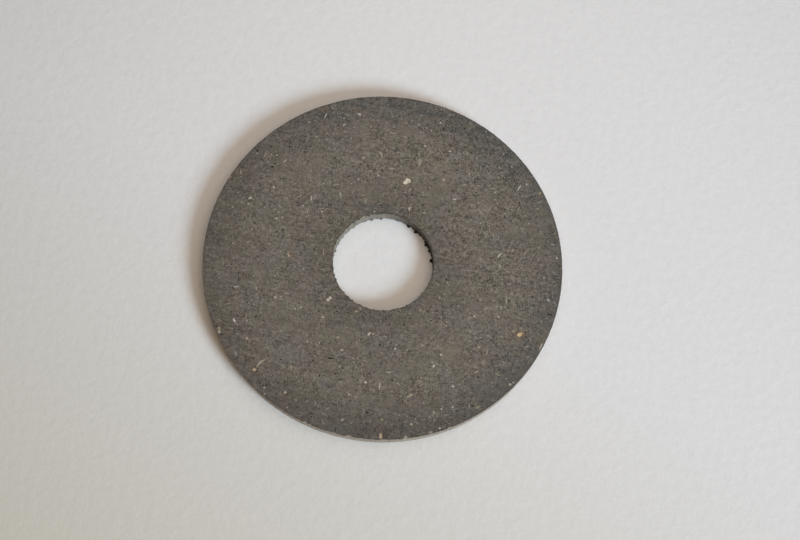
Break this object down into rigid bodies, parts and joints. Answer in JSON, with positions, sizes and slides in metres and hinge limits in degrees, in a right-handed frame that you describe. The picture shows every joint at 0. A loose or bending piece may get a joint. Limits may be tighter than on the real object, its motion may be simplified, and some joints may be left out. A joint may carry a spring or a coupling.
{
  "type": "friction washer",
  "caption": "Flat round friction washer of moulded fibre-filled composite with one plain central bore and two parallel friction faces.",
  "frame": {"origin": "on the bore's axis, in the plane of the lower friction face that the washer lies on", "axes": "+Z along the bore's axis, up through the thickness; the disc is round, and the nick in its rim lies 157.4 degrees from +X towards +Y"},
  "size_m": [0.05, 0.05, 0.002],
  "materials": {
    "friction_composite": "dull, finely sanded, dark warm grey with pale fibres, pale and tan grains and fine pores"
  },
  "bodies": {
    "root": {"friction_washer": "friction_composite"}
  },
  "joints": []
}
